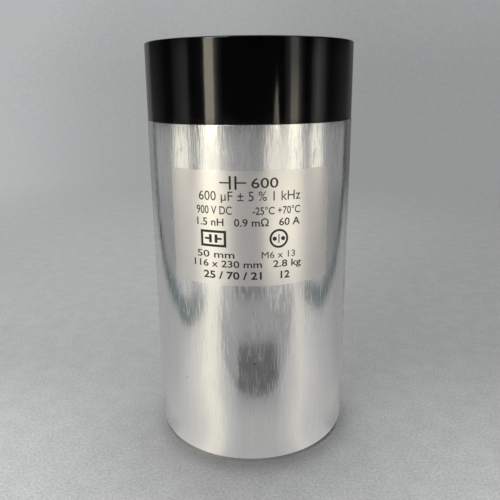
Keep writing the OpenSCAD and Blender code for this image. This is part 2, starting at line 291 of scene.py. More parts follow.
class Finish:
    """A material with a Principled shader and the patterns that feed it."""

    def __init__(self, name, **constants):
        self.material = bpy.data.materials.new(name)
        self.material.use_nodes = True
        self.tree = self.material.node_tree
        self.tree.nodes.clear()
        self.shader = self.node("ShaderNodeBsdfPrincipled", sockets=constants)
        self.output = self.node(
            "ShaderNodeOutputMaterial", sockets={"Surface": self.shader.outputs[0]}
        )
        self.place = self.node("ShaderNodeTexCoord").outputs["Object"]

    def node(self, kind, settings=None, sockets=None):
        return add_node(self.tree, kind, settings, sockets)

    def axes(self):
        """The x, y and z of a point."""
        split = self.node("ShaderNodeSeparateXYZ", sockets={0: self.place})
        return [Number(self.tree, socket) for socket in split.outputs]

    def scaled(self, x, y, z):
        """The place of a point, multiplied along each axis."""
        stretch = self.node(
            "ShaderNodeVectorMath", {"operation": "MULTIPLY"}, {0: self.place, 1: (x, y, z)}
        )
        return stretch.outputs[0]

    def noise(self, place, scale=1, detail=2, roughness=0.5):
        """Soft noise between 0 and 1."""
        node = self.node(
            "ShaderNodeTexNoise",
            sockets={"Vector": place, "Scale": scale, "Detail": detail, "Roughness": roughness},
        )
        return Number(self.tree, node.outputs["Fac"])

    def grain(self, size, detail=2, roughness=0.5):
        """Noise with spots of about the given size."""
        return self.noise(self.place, 1 / size, detail, roughness)

    def streaks(self, width, run, detail=2, roughness=0.5):
        """Noise drawn out along Z into streaks of the given width and length."""
        return self.noise(self.scaled(1 / width, 1 / width, 1 / run), 1, detail, roughness)

    def cells(self, size):
        """Distance from the middles of random cells of the given size, 0 to about 1."""
        node = self.node("ShaderNodeTexVoronoi", sockets={"Vector": self.place, "Scale": 1 / size})
        return Number(self.tree, node.outputs["Distance"])

    def spread(self, value, low, high, to_low=0.0, to_high=1.0):
        """The value, mapped smoothly from one range to another and held at its ends."""
        node = self.node(
            "ShaderNodeMapRange",
            {"interpolation_type": "SMOOTHSTEP"},
            {0: value, 1: low, 2: high, 3: to_low, 4: to_high},
        )
        return Number(self.tree, node.outputs[0])

    def spot(self, centre, radius, softness=0.5):
        """1 inside a ball round a point, 0 outside it."""
        gap = self.node(
            "ShaderNodeVectorMath", {"operation": "DISTANCE"}, {0: self.place, 1: centre}
        )
        distance = Number(self.tree, gap.outputs["Value"])
        return self.spread(distance, radius * (1 - softness), radius * (1 + softness), 1, 0)

    def blend(self, factor, first, second):
        """A colour between two colours."""
        colours = [(*c, 1) if isinstance(c, (tuple, list)) else c for c in (first, second)]
        node = self.node(
            "ShaderNodeMix", {"data_type": "RGBA"}, {0: factor, 6: colours[0], 7: colours[1]}
        )
        return node.outputs[2]

    def feed(self, socket, value):
        """Feeds a socket of the shader."""
        source = value.socket if isinstance(value, Number) else value
        self.tree.links.new(source, self.shader.inputs[socket])

    def relief(self, height, depth):
        """Feeds the normal with a relief of the given depth."""
        bump = self.node("ShaderNodeBump", sockets={"Height": height, "Distance": depth})
        self.feed("Normal", bump.outputs[0])

    def dressed(self, colour, rough, height=None, depth=0.0):
        """The material with its colour, its roughness and a relief of the given depth."""
        self.feed("Base Color", colour)
        self.feed("Roughness", rough)
        if height is not None:
            self.relief(height, depth)
        return self.material


def shade(base, factor):
    """A colour made lighter or darker."""
    return tuple(min(1.0, c * factor) for c in base)


def aluminium(settings):
    """Drawn aluminium: fine lines along the can, between bright and hazy, with a few marks."""
    f = Finish("can_aluminium", Metallic=1.0)
    metal = tuple(settings.metal)
    hair = f.streaks(0.3 * MM, 8 * MM, 3)
    line = f.streaks(1.1 * MM, 11 * MM, 2)
    ribbon = f.streaks(3 * MM, 60 * MM, 2)
    cloud = f.grain(25 * MM, 2)
    scratch = f.streaks(0.8 * MM, 9 * MM, 2)
    drawn = hair * 0.4 + line * 0.35 + ribbon * 0.25
    scuff = f.spot((28.8 * MM, -50.3 * MM, 14.4 * MM), 3 * MM)
    smudge = f.spot((28.8 * MM, -50.4 * MM, 52.4 * MM), 5 * MM)
    specks = f.spot((-37.1 * MM, -44.5 * MM, 48 * MM), 0.45 * MM, softness=0.3)
    specks = specks + f.spot((1.4 * MM, -58 * MM, 62.8 * MM), 0.6 * MM, softness=0.3)
    marks = (scuff * f.spread(hair, 0.5, 0.65) + smudge * f.spread(line, 0.5, 0.7)) * 0.5
    hazy = f.spread(scratch, 0.5, 0.68)
    rough = f.spread(drawn, 0.38, 0.66, 0.09, 0.15) + hazy * 0.17 + cloud * 0.04 + marks * 0.2
    tint = f.blend(f.spread(drawn, 0.4, 0.62), shade(metal, 0.975), shade(metal, 1.02))
    tint = f.blend(specks.at_most(1.0), tint, shade(metal, 0.35))
    height = hair * 0.15 + line * 0.9 + ribbon * 0.5 + cloud * 0.2
    return f.dressed(tint, rough, height, 0.06 * MM)


def black_plastic(settings):
    """Glossy black moulding with a faint unevenness."""
    f = Finish("cover_plastic", IOR=1.5)
    plastic = tuple(settings.plastic)
    cloud = f.grain(9 * MM, 3)
    fleck = f.grain(1.2 * MM, 2)
    tint = f.blend(cloud, plastic, shade(plastic, 1.6))
    rough = f.spread(cloud, 0.35, 0.65, 0.06, 0.09) + f.spread(fleck, 0.6, 0.8, 0, 0.05)
    return f.dressed(tint, rough, cloud + fleck * 0.03, 0.02 * MM)


def brass(settings):
    """Turned brass: rings round each terminal's axis on its faces."""
    f = Finish("terminal_brass", Metallic=1.0)
    metal = tuple(settings.brass)
    x, y, z = f.axes()
    off = abs(x) - settings.reach
    radius = (off * off + y * y).root()
    ring_place = f.node("ShaderNodeCombineXYZ", sockets={0: radius, 1: z})
    rings = f.noise(ring_place.outputs[0], 1 / (0.12 * MM), 2)
    cloud = f.grain(4 * MM, 3)
    tint = f.blend(cloud, shade(metal, 0.82), shade(metal, 1.08))
    rough = f.spread(rings, 0.3, 0.7, 0.18, 0.34) + cloud * 0.08
    return f.dressed(tint, rough, rings, 0.012 * MM)


def plug_rubber(settings):
    """Matt black rubber with a fine grain."""
    f = Finish("plug_rubber")
    rubber = tuple(settings.rubber)
    grain = f.grain(0.5 * MM, 3)
    cloud = f.grain(5 * MM, 2)
    tint = f.blend(cloud, rubber, shade(rubber, 1.5))
    return f.dressed(tint, f.spread(grain, 0.3, 0.7, 0.5, 0.7), grain, 0.03 * MM)


def label_film(settings):
    """Silver satin film that shows a little of the can's lines."""
    f = Finish("label_silver", Metallic=0.9)
    film = tuple(settings.film)
    line = f.streaks(1.1 * MM, 25 * MM, 2)
    cloud = f.grain(14 * MM, 3)
    tooth = f.grain(0.3 * MM, 1)
    tint = f.blend(cloud, shade(film, 0.96), shade(film, 1.04))
    rough = f.spread(cloud, 0.35, 0.65, 0.27, 0.31) + tooth * 0.03
    return f.dressed(tint, rough, line * 0.25 + tooth * 0.06 + cloud * 0.4, 0.03 * MM)


def label_ink(settings):
    """Black printing ink, a little uneven."""
    f = Finish("label_ink")
    ink = tuple(settings.ink)
    wear = f.grain(0.4 * MM, 2)
    tint = f.blend(f.spread(wear, 0.55, 0.75), ink, shade(ink, 5))
    return f.dressed(tint, f.spread(wear, 0.3, 0.7, 0.35, 0.5))


def rolled_copper():
    """Copper strip: fine rolling lines along it and a slight tarnish."""
    f = Finish("copper_strip", Metallic=1.0)
    lines = f.noise(f.scaled(1 / (20 * MM), 1 / (0.3 * MM), 1 / (20 * MM)), 1, 3)
    tarnish = f.grain(7 * MM, 4, 0.6)
    bright = f.blend(lines, (0.80, 0.44, 0.29), (0.88, 0.52, 0.37))
    tint = f.blend(f.spread(tarnish, 0.5, 0.75), bright, (0.42, 0.20, 0.13))
    return f.dressed(tint, f.spread(tarnish, 0.3, 0.7, 0.22, 0.42), lines, 0.01 * MM)


def tin_solder():
    """Solder: bright, with a dull frosted skin."""
    f = Finish("tin_solder", Metallic=1.0)
    frost = f.grain(0.6 * MM, 4, 0.6)
    tint = f.blend(frost, (0.52, 0.53, 0.55), (0.74, 0.75, 0.77))
    return f.dressed(tint, f.spread(frost, 0.3, 0.7, 0.25, 0.5), frost, 0.05 * MM)


def wound_film():
    """Metallised film, wound: turns that show as fine rings on the ends."""
    f = Finish("wound_film", Metallic=0.6)
    x, y, _ = f.axes()
    turns = f.node("ShaderNodeCombineXYZ", sockets={0: (x * x + y * y).root()})
    rings = f.noise(turns.outputs[0], 1 / (0.25 * MM), 2)
    tint = f.blend(rings, (0.60, 0.61, 0.63), (0.80, 0.81, 0.84))
    return f.dressed(tint, f.spread(rings, 0.3, 0.7, 0.2, 0.4), rings, 0.02 * MM)


def sprayed_zinc():
    """Zinc sprayed on in drops: rough and grey."""
    f = Finish("sprayed_zinc", Metallic=0.9)
    drops = f.grain(0.45 * MM, 4, 0.65)
    patch = f.grain(8 * MM, 2)
    tint = f.blend(patch, (0.36, 0.37, 0.39), (0.52, 0.53, 0.55))
    return f.dressed(tint, f.spread(drops, 0.3, 0.7, 0.55, 0.8), drops, 0.15 * MM)


def plain_plastic(name, light, dark, size, rough, depth):
    """Insulation: two tones in grain of the given size."""
    f = Finish(name)
    grain = f.grain(size, 4, 0.55)
    tint = f.blend(grain, dark, light)
    return f.dressed(tint, f.spread(grain, 0.3, 0.7, rough - 0.06, rough + 0.06), grain, depth)


def wrap_film():
    """Clear film in many turns: pale, with creases along the winding."""
    f = Finish("wrap_film")
    crease = f.streaks(3 * MM, 30 * MM, 3)
    tint = f.blend(crease, (0.62, 0.62, 0.55), (0.80, 0.80, 0.74))
    return f.dressed(tint, f.spread(crease, 0.3, 0.7, 0.12, 0.28), crease, 0.08 * MM)


def potting():
    """Cast resin: dark, with a few small bubbles."""
    f = Finish("potting_resin")
    cloud = f.grain(12 * MM, 3)
    bubbles = f.spread(f.cells(4 * MM), 0.05, 0.16)
    tint = f.blend(cloud, (0.018, 0.014, 0.011), (0.034, 0.026, 0.020))
    rough = f.spread(cloud, 0.3, 0.7, 0.22, 0.4)
    return f.dressed(tint, rough, bubbles + cloud * 0.3, 0.1 * MM)


# ---- Meshes ----


def new_piece(name, mesh):
    """Links a mesh to the scene as an object."""
    piece = bpy.data.objects.new(name, mesh)
    bpy.context.scene.collection.objects.link(piece)
    return piece


def from_bmesh(name, shape):
    """Turns a bmesh into an object and frees it."""
    mesh = bpy.data.meshes.new(name)
    shape.to_mesh(mesh)
    shape.free()
    return new_piece(name, mesh)


def closed_piece(name, shape):
    """Turns a closed bmesh into an object with its faces outwards."""
    bmesh.ops.recalc_face_normals(shape, faces=shape.faces)
    return from_bmesh(name, shape)


def add_rows(shape, rows, closed=False):
    """Adds points row by row and the faces between rows, which are rings if closed."""
    verts = [[shape.verts.new(point) for point in row] for row in rows]
    for near, far in zip(verts, verts[1:]):
        for i in range(len(near) if closed else len(near) - 1):
            j = (i + 1) % len(near)
            shape.faces.new((near[i], near[j], far[j], far[i]))
    return verts


def arc(centre, radius, start, end, steps=EDGE_STEPS):
    """Points of an arc in a half section, from one angle to the other in degrees."""
    angles = [math.radians(start + (end - start) * i / steps) for i in range(steps + 1)]
    return [(centre[0] + radius * math.cos(a), centre[1] + radius * math.sin(a)) for a in angles]


def bar(left, low, right, high):
    """Outline of a bar."""
    return [(left, low), (right, low), (right, high), (left, high)]


def circle(radius, z, steps, centre=(0, 0)):
    """Points round a circle. The radius is a number, or a function of the angle."""
    points = []
    for i in range(steps):
        angle = 2 * math.pi * i / steps
        reach = radius(angle) if callable(radius) else radius
        x, y = reach * math.cos(angle), reach * math.sin(angle)
        points.append((centre[0] + x, centre[1] + y, z))
    return points


def skin(name, rings, first, last):
    """A closed surface through rings of equally many points, fanned to a point at each end."""
    shape = bmesh.new()
    rows = add_rows(shape, rings, closed=True)
    for row, tip in ((rows[0], first), (rows[-1], last)):
        middle = shape.verts.new(tip)
        for i in range(len(row)):
            shape.faces.new((row[i], row[(i + 1) % len(row)], middle))
    return closed_piece(name, shape)


def lathe(name, section, steps=SMALL_STEPS, centre=(0, 0)):
    """Turns a half section, which starts and ends on the axis, into a closed solid."""
    rings = [circle(radius, z, steps, centre) for radius, z in section[1:-1]]
    ends = [(*centre, section[end][1]) for end in (0, -1)]
    return skin(name, rings, *ends)


def with_modifiers(piece):
    """Makes the result of a piece's modifiers its own mesh."""
    graph = bpy.context.evaluated_depsgraph_get()
    mesh = bpy.data.meshes.new_from_object(
        piece.evaluated_get(graph), preserve_all_data_layers=True, depsgraph=graph
    )
    piece.modifiers.clear()
    piece.data = mesh
    return piece


def combine(piece, operation, others):
    """Adds other solids to a piece or cuts them out of it."""
    for other in others:
        cut = piece.modifiers.new("combine", "BOOLEAN")
        cut.operation = operation
        cut.solver = "MANIFOLD"
        cut.object = other
    with_modifiers(piece)
    for other in others:
        bpy.data.objects.remove(other)
    return piece


def smooth(piece, angle=30):
    """Shades a piece smoothly between edges sharper than the angle, and keeps flat faces flat."""
    piece.data.shade_smooth()
    piece.data.set_sharp_from_angle(angle=math.radians(angle))
    weight = piece.modifiers.new("weight", "WEIGHTED_NORMAL")
    weight.keep_sharp = True
    return with_modifiers(piece)


def finish_piece(piece, material, slot, *nodes):
    """Gives a piece its material and body, and hides the nodes it stands for. The slot is not used.
    """
    piece.data.materials.clear()
    piece.data.materials.append(material)
    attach(piece, "root")
    if nodes:
        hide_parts(*nodes)


def ring_tree():
    """Geometry nodes that repeat a solid round the Z axis."""
    tree = bpy.data.node_groups.new("repeat_round_axis", "GeometryNodeTree")
    tree.interface.new_socket("Geometry", in_out="INPUT", socket_type="NodeSocketGeometry")
    tree.interface.new_socket("Count", in_out="INPUT", socket_type="NodeSocketInt")
    tree.interface.new_socket("First Angle", in_out="INPUT", socket_type="NodeSocketFloat")
    tree.interface.new_socket("Material", in_out="INPUT", socket_type="NodeSocketMaterial")
    tree.interface.new_socket("Geometry", in_out="OUTPUT", socket_type="NodeSocketGeometry")
    given = add_node(tree, "NodeGroupInput").outputs
    index = Number(tree, add_node(tree, "GeometryNodeInputIndex").outputs[0])
    points = add_node(
        tree, "GeometryNodeMeshLine", sockets={"Count": given["Count"], "Offset": (0, 0, 0)}
    )
    angle = index * (2 * math.pi) / Number(tree, given["Count"])
    angle = angle + Number(tree, given["First Angle"])
    turn = add_node(tree, "ShaderNodeCombineXYZ", sockets={2: angle})
    copies = add_node(
        tree,
        "GeometryNodeInstanceOnPoints",
        sockets={
            "Points": points.outputs[0],
            "Instance": given["Geometry"],
            "Rotation": turn.outputs[0],
        },
    )
    solid = add_node(tree, "GeometryNodeRealizeInstances", sockets={0: copies.outputs[0]})
    dressed = add_node(
        tree,
        "GeometryNodeSetMaterial",
        sockets={"Geometry": solid.outputs[0], "Material": given["Material"]},
    )
    add_node(tree, "NodeGroupOutput", sockets={"Geometry": dressed.outputs[0]})
    return tree


def repeat_round(piece, count, first_angle, material):
    """Repeats a solid evenly round the Z axis."""
    tree = bpy.data.node_groups.get("repeat_round_axis") or ring_tree()
    repeat = piece.modifiers.new("repeat", "NODES")
    repeat.node_group = tree
    values = {"Count": count, "First Angle": first_angle, "Material": material}
    for item in tree.interface.items_tree:
        if item.in_out == "INPUT" and item.name in values:
            repeat[item.identifier] = values[item.name]
    return with_modifiers(piece)


def prism(name, outline, thickness):
    """A plate in the XZ plane, centred on Y."""
    shape = bmesh.new()
    sides = [[(x, y, z) for x, z in outline] for y in (-thickness / 2, thickness / 2)]
    for side in add_rows(shape, sides, closed=True):
        shape.faces.new(side)
    return closed_piece(name, shape)


# ---- Can ----


def can_section(s):
    """Half section of the can, from the middle of its base round the rim to the inside."""
    inner = s.radius - s.wall
    inner_round = s.base_round - s.wall
    base = (s.radius - s.base_round, s.base_round)
    rim = (s.radius - s.rim_round, s.height - s.rim_round)
    corner = (inner - inner_round, s.floor + inner_round)
    return [
        (0, 0),
        *arc(base, s.base_round, -90, 0, steps=16),
        *arc(rim, s.rim_round, 0, 90),
        (inner, s.height),
        *arc(corner, inner_round, 0, -90, steps=8),
        (0, s.floor),
    ]


class CAPACITOR_OT_can(bpy.types.Operator):
    """Makes the drawn can"""

    bl_idname = "capacitor.can"
    bl_label = "Can"

    def execute(self, context):
        settings = context.scene.capacitor.can
        can = smooth(lathe("can_shell", can_section(settings), ROUND_STEPS))
        finish_piece(can, aluminium(settings), "can", "can")
        return {"FINISHED"}


# ---- Cover ----


def cover_section(c, can):
    """Half section of the cover's shell, from the deck's middle over the band to the skirt."""
    top = c.radius - c.draft
    deck_z = c.band_z - c.deck_drop
    under_z = deck_z - c.deck
    deck_r = top - c.band_width
    skirt_r = can.radius - can.wall - c.skirt_gap
    inner = skirt_r - c.skirt
    small = c.step_round / 2
    return [
        (0, deck_z),
        *arc((deck_r - small, deck_z + small), small, -90, 0),
        *arc((deck_r + small, c.band_z - small), small, 180, 90),
        *arc((top - c.edge_round, c.band_z - c.edge_round), c.edge_round, 90, 0),
        (c.radius, can.height),
        (skirt_r, can.height),
        (skirt_r, COVER_LOW.z + small),
        (skirt_r - small, COVER_LOW.z),
        (inner + small, COVER_LOW.z),
        (inner, COVER_LOW.z + small),
        *arc((inner - c.fillet, under_z - c.fillet), c.fillet, 0, 90),
        (0, under_z),
    ]


def turret_section(c, boss_z):
    """Half section of a turret with its step, and of the boss below the deck."""
    deck_z = c.band_z - c.deck_drop
    step_r = c.turret_radius + c.turret_step
    edge = c.step_round
    foot = edge * FOOT_SHARE
    inside_z = deck_z - c.deck / 2
    return [
        (0, boss_z),
        *arc((c.turret_radius - edge, boss_z + edge), edge, -90, 0),
        (c.turret_radius, inside_z),
        (step_r + foot, inside_z),
        *arc((step_r + foot, deck_z + foot), foot, 270, 180),
        *arc((step_r - edge, c.band_z - edge), edge, 0, 90),
        *arc((c.turret_radius + foot, c.band_z + foot), foot, 270, 180),
        *arc((c.turret_radius - edge, c.turret_z - edge), edge, 0, 90),
        (0, c.turret_z),
    ]


def barrier_piece(c):
    """The barrier: a wall with round ends and rounded upper edges, spread at its foot."""
    half = c.barrier_width / 2
    edge = c.step_round
    foot = edge * FOOT_SHARE
    deck_z = c.band_z - c.deck_drop
    section = [
        (half + foot, deck_z - c.deck / 2),
        *arc((half + foot, deck_z + foot), foot, 270, 180),
        *arc((half - edge, c.turret_z - edge), edge, 0, 90),
    ]
    straight = (c.barrier_length - c.barrier_width) / 2
    rings = []
    for reach, z in section:
        ring = circle(reach, z, SMALL_STEPS)
        rings.append([(x, y + math.copysign(straight, y), z) for x, y, z in ring])
    return skin("barrier", rings, (0, 0, section[0][1]), (0, 0, section[-1][1]))


def rib_piece(c, can):
    """One rib between the deck and the wall, on +X."""
    inner = can.radius - can.wall - c.skirt_gap - c.skirt
    under_z = c.band_z - c.deck_drop - c.deck
    outline = [
        (inner - c.rib_length, under_z + OVERLAP),
        (inner + OVERLAP, under_z + OVERLAP),
        (inner + OVERLAP, under_z - c.rib_depth),
        (inner, under_z - c.rib_depth),
        (inner - c.rib_length, under_z - c.rib_depth / 3),
    ]
    return prism("ribs", outline, c.rib_width)


def notch_cutter(c, can):
    """The block that cuts one notch in the skirt, on +X."""
    inner = can.radius - can.wall - c.skirt_gap - c.skirt
    near, far = inner - OVERLAP, inner + c.skirt + OVERLAP
    top = COVER_LOW.z + c.notch_height
    outline = bar(near, COVER_LOW.z - OVERLAP, far, top)
    return prism("notches", outline, c.notch_width)


def hexagon(flats):
    """The radius of a hexagon, as a function of the angle."""

    def radius(angle):
        side = math.pi / 3
        return flats / 2 / math.cos(math.fmod(angle, side) - side / 2)

    return radius


def seat_section(t, boss_z, top_z):
    """Half section of what the cover is moulded round, up to the given height."""
    hexagonal = hexagon(t.collar_flats)
    return [
        (0, boss_z),
        (t.shank, boss_z),
        (t.shank, t.collar_z),
        (hexagonal, t.collar_z),
        (hexagonal, t.collar_z + t.collar),
        (t.radius, t.collar_z + t.collar),
        (t.radius, top_z),
        (0, top_z),
    ]


class CAPACITOR_OT_cover(bpy.types.Operator):
    """Makes the moulded cover with its turrets, barrier, ribs and notched skirt"""

    bl_idname = "capacitor.cover"
    bl_label = "Cover"

    def execute(self, context):
        settings = context.scene.capacitor
        c = settings.cover
        t = settings.terminals
        plugs = settings.plugs
        plastic = black_plastic(c)
        boss_z = LEAD_TOP.z
        centres = [(side * t.reach, 0) for side in (-1, 1)]
        half_step = math.pi / c.rib_count
        under_z = c.band_z - c.deck_drop - c.deck - CUTTER_SPARE

        cover = lathe("cover_moulding", cover_section(c, settings.can), ROUND_STEPS)
        added = [lathe("turret", turret_section(c, boss_z), SMALL_STEPS, at) for at in centres]
        added.append(barrier_piece(c))
        added.append(repeat_round(rib_piece(c, settings.can), c.rib_count, half_step, plastic))
        combine(cover, "UNION", added)

        seat = seat_section(t, boss_z - CUTTER_SPARE, c.turret_z + CUTTER_SPARE)
        seats = [lathe("seat", seat, SMALL_STEPS, at) for at in centres]
        notch = notch_cutter(c, settings.can)
        notches = repeat_round(notch, c.rib_count, half_step, plastic)
        bore = [(0, under_z), (plugs.port, under_z), (plugs.port, c.band_z), (0, c.band_z)]
        port = lathe("ports", bore, SMALL_STEPS, (plugs.reach, 0))
        ports = repeat_round(port, PORT_COUNT, plugs.angle, plastic)
        combine(cover, "DIFFERENCE", [*seats, notches, ports])
        finish_piece(smooth(cover), plastic, "cover", "cover")
        return {"FINISHED"}


# ---- Terminals and plugs ----

# Steps of the thread in one turn, and half the angle of the drill's point in degrees
THREAD_STEPS = 12
DRILL_HALF_ANGLE = 59
# Slope of the thread's flanks, and how much of the ridge its crest and root cut off
FLANK_SLOPE = 2.2
FLANK_CUT = 0.45
# Whole turns that keep the thread's phase above zero all the way down
SPARE_TURNS = 40


def thread_section(t, face_z):
    """Half section of the threaded hole, from the drill's point to the contact face."""
    bottom = face_z - t.thread_depth
    point = bottom - t.thread_minor / math.tan(math.radians(DRILL_HALF_ANGLE))
    rings = round(t.thread_depth / t.thread_pitch * THREAD_STEPS)
    section = [(0, point)]
    for i in range(rings + 1):
        z = bottom + i * t.thread_depth / rings
        section.append((thread_radius(t, z, bottom, face_z), z))
    return section


def thread_radius(t, z, bottom, face_z):
    """The hole's radius at one height: a ridge that turns with the angle, and the countersink."""
    depth = t.thread_major - t.thread_minor
    fade = min(1, (z - bottom) / t.thread_pitch)
    cone = t.mouth - (face_z - z)

    def radius(angle):
        turn = math.fmod(z / t.thread_pitch - angle / (2 * math.pi) + SPARE_TURNS, 1)
        flank = min(1, max(0, FLANK_SLOPE * (1 - abs(2 * turn - 1)) - FLANK_CUT))
        return max(t.thread_minor + depth * flank * fade, cone)

    return radius


def terminal_section(t, boss_z, low_z, face_z):
    """Half section of a terminal, from its hole over the face and down to the peened head."""
    hexagonal = hexagon(t.collar_flats)
    bevel = t.collar / 12
    peen_z = low_z + t.peened
    peen_edge = t.peened / 2
    return [
        *thread_section(t, face_z),
        (t.radius - t.edge, face_z),
        (t.radius, face_z - t.edge),
        (t.radius, t.collar_z + t.collar),
        (lambda angle: hexagonal(angle) - bevel, t.collar_z + t.collar),
        (hexagonal, t.collar_z + t.collar - bevel),
        (hexagonal, t.collar_z),
        (t.shank, t.collar_z),
        (t.shank, boss_z),
        (t.stud, boss_z),
        (t.stud, peen_z),
        *arc((t.peen - peen_edge, peen_z - peen_edge), peen_edge, 90, -90),
        (t.stud / 2, low_z),
        (0, low_z + t.peened / 4),
    ]


class CAPACITOR_OT_terminals(bpy.types.Operator):
    """Makes both threaded terminals"""

    bl_idname = "capacitor.terminals"
    bl_label = "Terminals"

    def execute(self, context):
        t = context.scene.capacitor.terminals
        metal = brass(t)
        section = terminal_section(t, LEAD_TOP.z, POST_LOW.z, POST_TOP.z)
        for name, side in (("left", -1), ("right", 1)):
            post = lathe(name + "_terminal_post", section, SMALL_STEPS, (side * t.reach, 0))
            finish_piece(smooth(post), metal, "terminal", name + "_terminal")
        return {"FINISHED"}


class CAPACITOR_OT_plugs(bpy.types.Operator):
    """Makes the plugs in the filling ports"""

    bl_idname = "capacitor.plugs"
    bl_label = "Filling plugs"

    def execute(self, context):
        p = context.scene.capacitor.plugs
        rubber = plug_rubber(p)
        deck_z = PLUG_TOP.z - p.thickness
        round_r = p.thickness / 2
        dimple = p.head / 3
        section = [
            (0, PLUG_LOW.z),
            (p.port - round_r, PLUG_LOW.z),
            (p.port, PLUG_LOW.z + round_r),
            (p.port, deck_z),
            (p.head, deck_z),
            *arc((p.head - round_r, PLUG_TOP.z - round_r), round_r, 0, 90),
            (dimple * 1.1, PLUG_TOP.z),
            (dimple, PLUG_TOP.z - round_r / 2),
            (0, PLUG_TOP.z - round_r / 2),
        ]
        plug = lathe("port_plugs", section, SMALL_STEPS, (p.reach, 0))
        repeat_round(plug, PORT_COUNT, p.angle, rubber)
        finish_piece(smooth(plug), rubber, "plug", "fill_plugs")
        return {"FINISHED"}


# ---- Label ----

# Steps of the label along its straight edges and in each of its corners
LABEL_STEPS = 90
CORNER_STEPS = 8


def wrap_round(x, z, radius):
    """The place on a cylinder of a point that lies x along its surface from the front."""
    angle = x / CAN_TOP.x
    return (radius * math.sin(angle), -radius * math.cos(angle), z)


def corner_inset(settings, x):
    """How far the label's upper and lower edges stand back at x, in its rounded corners."""
    past = abs(x) - (settings.width / 2 - settings.corner)
    if past <= 0:
        return 0
    return settings.corner - math.sqrt(max(0, settings.corner**2 - past**2))


class CAPACITOR_OT_label(bpy.types.Operator):
    """Makes the label's film"""

    bl_idname = "capacitor.label"
    bl_label = "Label film"

    def execute(self, context):
        settings = context.scene.capacitor.label
        half = settings.width / 2
        straight = half - settings.corner
        turns = [math.pi / 2 * i / CORNER_STEPS for i in range(CORNER_STEPS)]
        columns = [-half + settings.corner * (1 - math.cos(turn)) for turn in turns]
        corner = [-x for x in reversed(columns)]
        columns += [-straight + 2 * straight * i / LABEL_STEPS for i in range(LABEL_STEPS + 1)]
        outer = CAN_TOP.x + settings.thickness
        rows = []
        for x in columns + corner:
            inset = corner_inset(settings, x)
            low, high = settings.low + inset, settings.high - inset
            section = ((CAN_TOP.x, low), (CAN_TOP.x, high), (outer, high), (outer, low))
            rows.append([wrap_round(x, z, radius) for radius, z in section])
        shape = bmesh.new()
        rows = add_rows(shape, rows, closed=True)
        for row in (rows[0], rows[-1]):
            shape.faces.new(row)
        label = smooth(closed_piece("label_foil", shape))
        finish_piece(label, label_film(settings), "label", "label")
        return {"FINISHED"}


# Height of the font's capitals, as a share of its size
CAPITAL = 0.69
# Width of the upright slices in which the flat print is bent round the can, in millimetres
SLICE_WIDTH = 1.5
# Distance within which two points of the print are one, in millimetres
WELD = 0.001


def printed_words(words, left, right, low, cap_height, weight):
    """Words as a flat solid of unit thickness, fitted between two edges, in millimetres."""
    half_thickness = 0.5
    curve = bpy.data.curves.new("words", "FONT")
    curve.body = words
    curve.offset = weight
    curve.extrude = half_thickness
    curve.resolution_u = 3
    holder = new_piece("words", curve)
    graph = bpy.context.evaluated_depsgraph_get()
    mesh = bpy.data.meshes.new_from_object(holder.evaluated_get(graph))
    bpy.data.objects.remove(holder)
    edges = [v.co.x for v in mesh.vertices]
    across = (right - left) / (max(edges) - min(edges))
    move = Matrix.Translation((left - min(edges) * across, low, half_thickness))
    mesh.transform(move @ Matrix.Diagonal((across, cap_height / CAPITAL, 1, 1)))
    return mesh


def printed_shape(outlines):
    """Flat solids of unit thickness from outlines. A pair of outlines is a hoop."""
    shape = bmesh.new()
    for outline in outlines:
        loops = outline if isinstance(outline, tuple) else (outline,)
        layers = [[[shape.verts.new((*p, z)) for p in loop] for loop in loops] for z in (0, 1)]
        for i in range(len(loops[0])):
            j = (i + 1) % len(loops[0])
            for low, high in zip(*layers):
                shape.faces.new((low[i], low[j], high[j], high[i]))
            if len(loops) == 2:
                for outer, inner in layers:
                    shape.faces.new((outer[i], outer[j], inner[j], inner[i]))
        if len(loops) == 1:
            for layer in layers:
                shape.faces.new(layer[0])
    mesh = bpy.data.meshes.new("shape")
    shape.to_mesh(mesh)
    shape.free()
    return mesh


def dot(x, y, radius, steps=40):
    """Outline of a round dot."""
    angles = [2 * math.pi * i / steps for i in range(steps)]
    return [(x + radius * math.cos(a), y + radius * math.sin(a)) for a in angles]


def capacitor_symbol(left, right, low, high, line, gap):
    """The drawing symbol of a capacitor: two plates and their leads."""
    middle = (left + right) / 2
    level = (low + high) / 2
    inner = gap / 2
    outer = inner + line * 1.5
    return [
        bar(left, level - line / 2, middle - outer, level + line / 2),
        bar(middle - outer, low, middle - inner, high),
        bar(middle + inner, low, middle + outer, high),
        bar(middle + outer, level - line / 2, right, level + line / 2),
    ]


def square_frame(left, low, right, high, line):
    """A frame, as a hoop of four corners."""
    return (bar(left, low, right, high), bar(left + line, low + line, right - line, high - line))


def top_view(x, y, radius, line):
    """The capacitor seen from above: its rim, the two terminals and the barrier."""
    reach = radius * 0.45
    terminal = radius * 0.22
    return [
        (dot(x, y, radius), dot(x, y, radius - line)),
        dot(x - reach, y, terminal),
        dot(x + reach, y, terminal),
        bar(x - line / 4, y - reach, x + line / 4, y + reach),
    ]


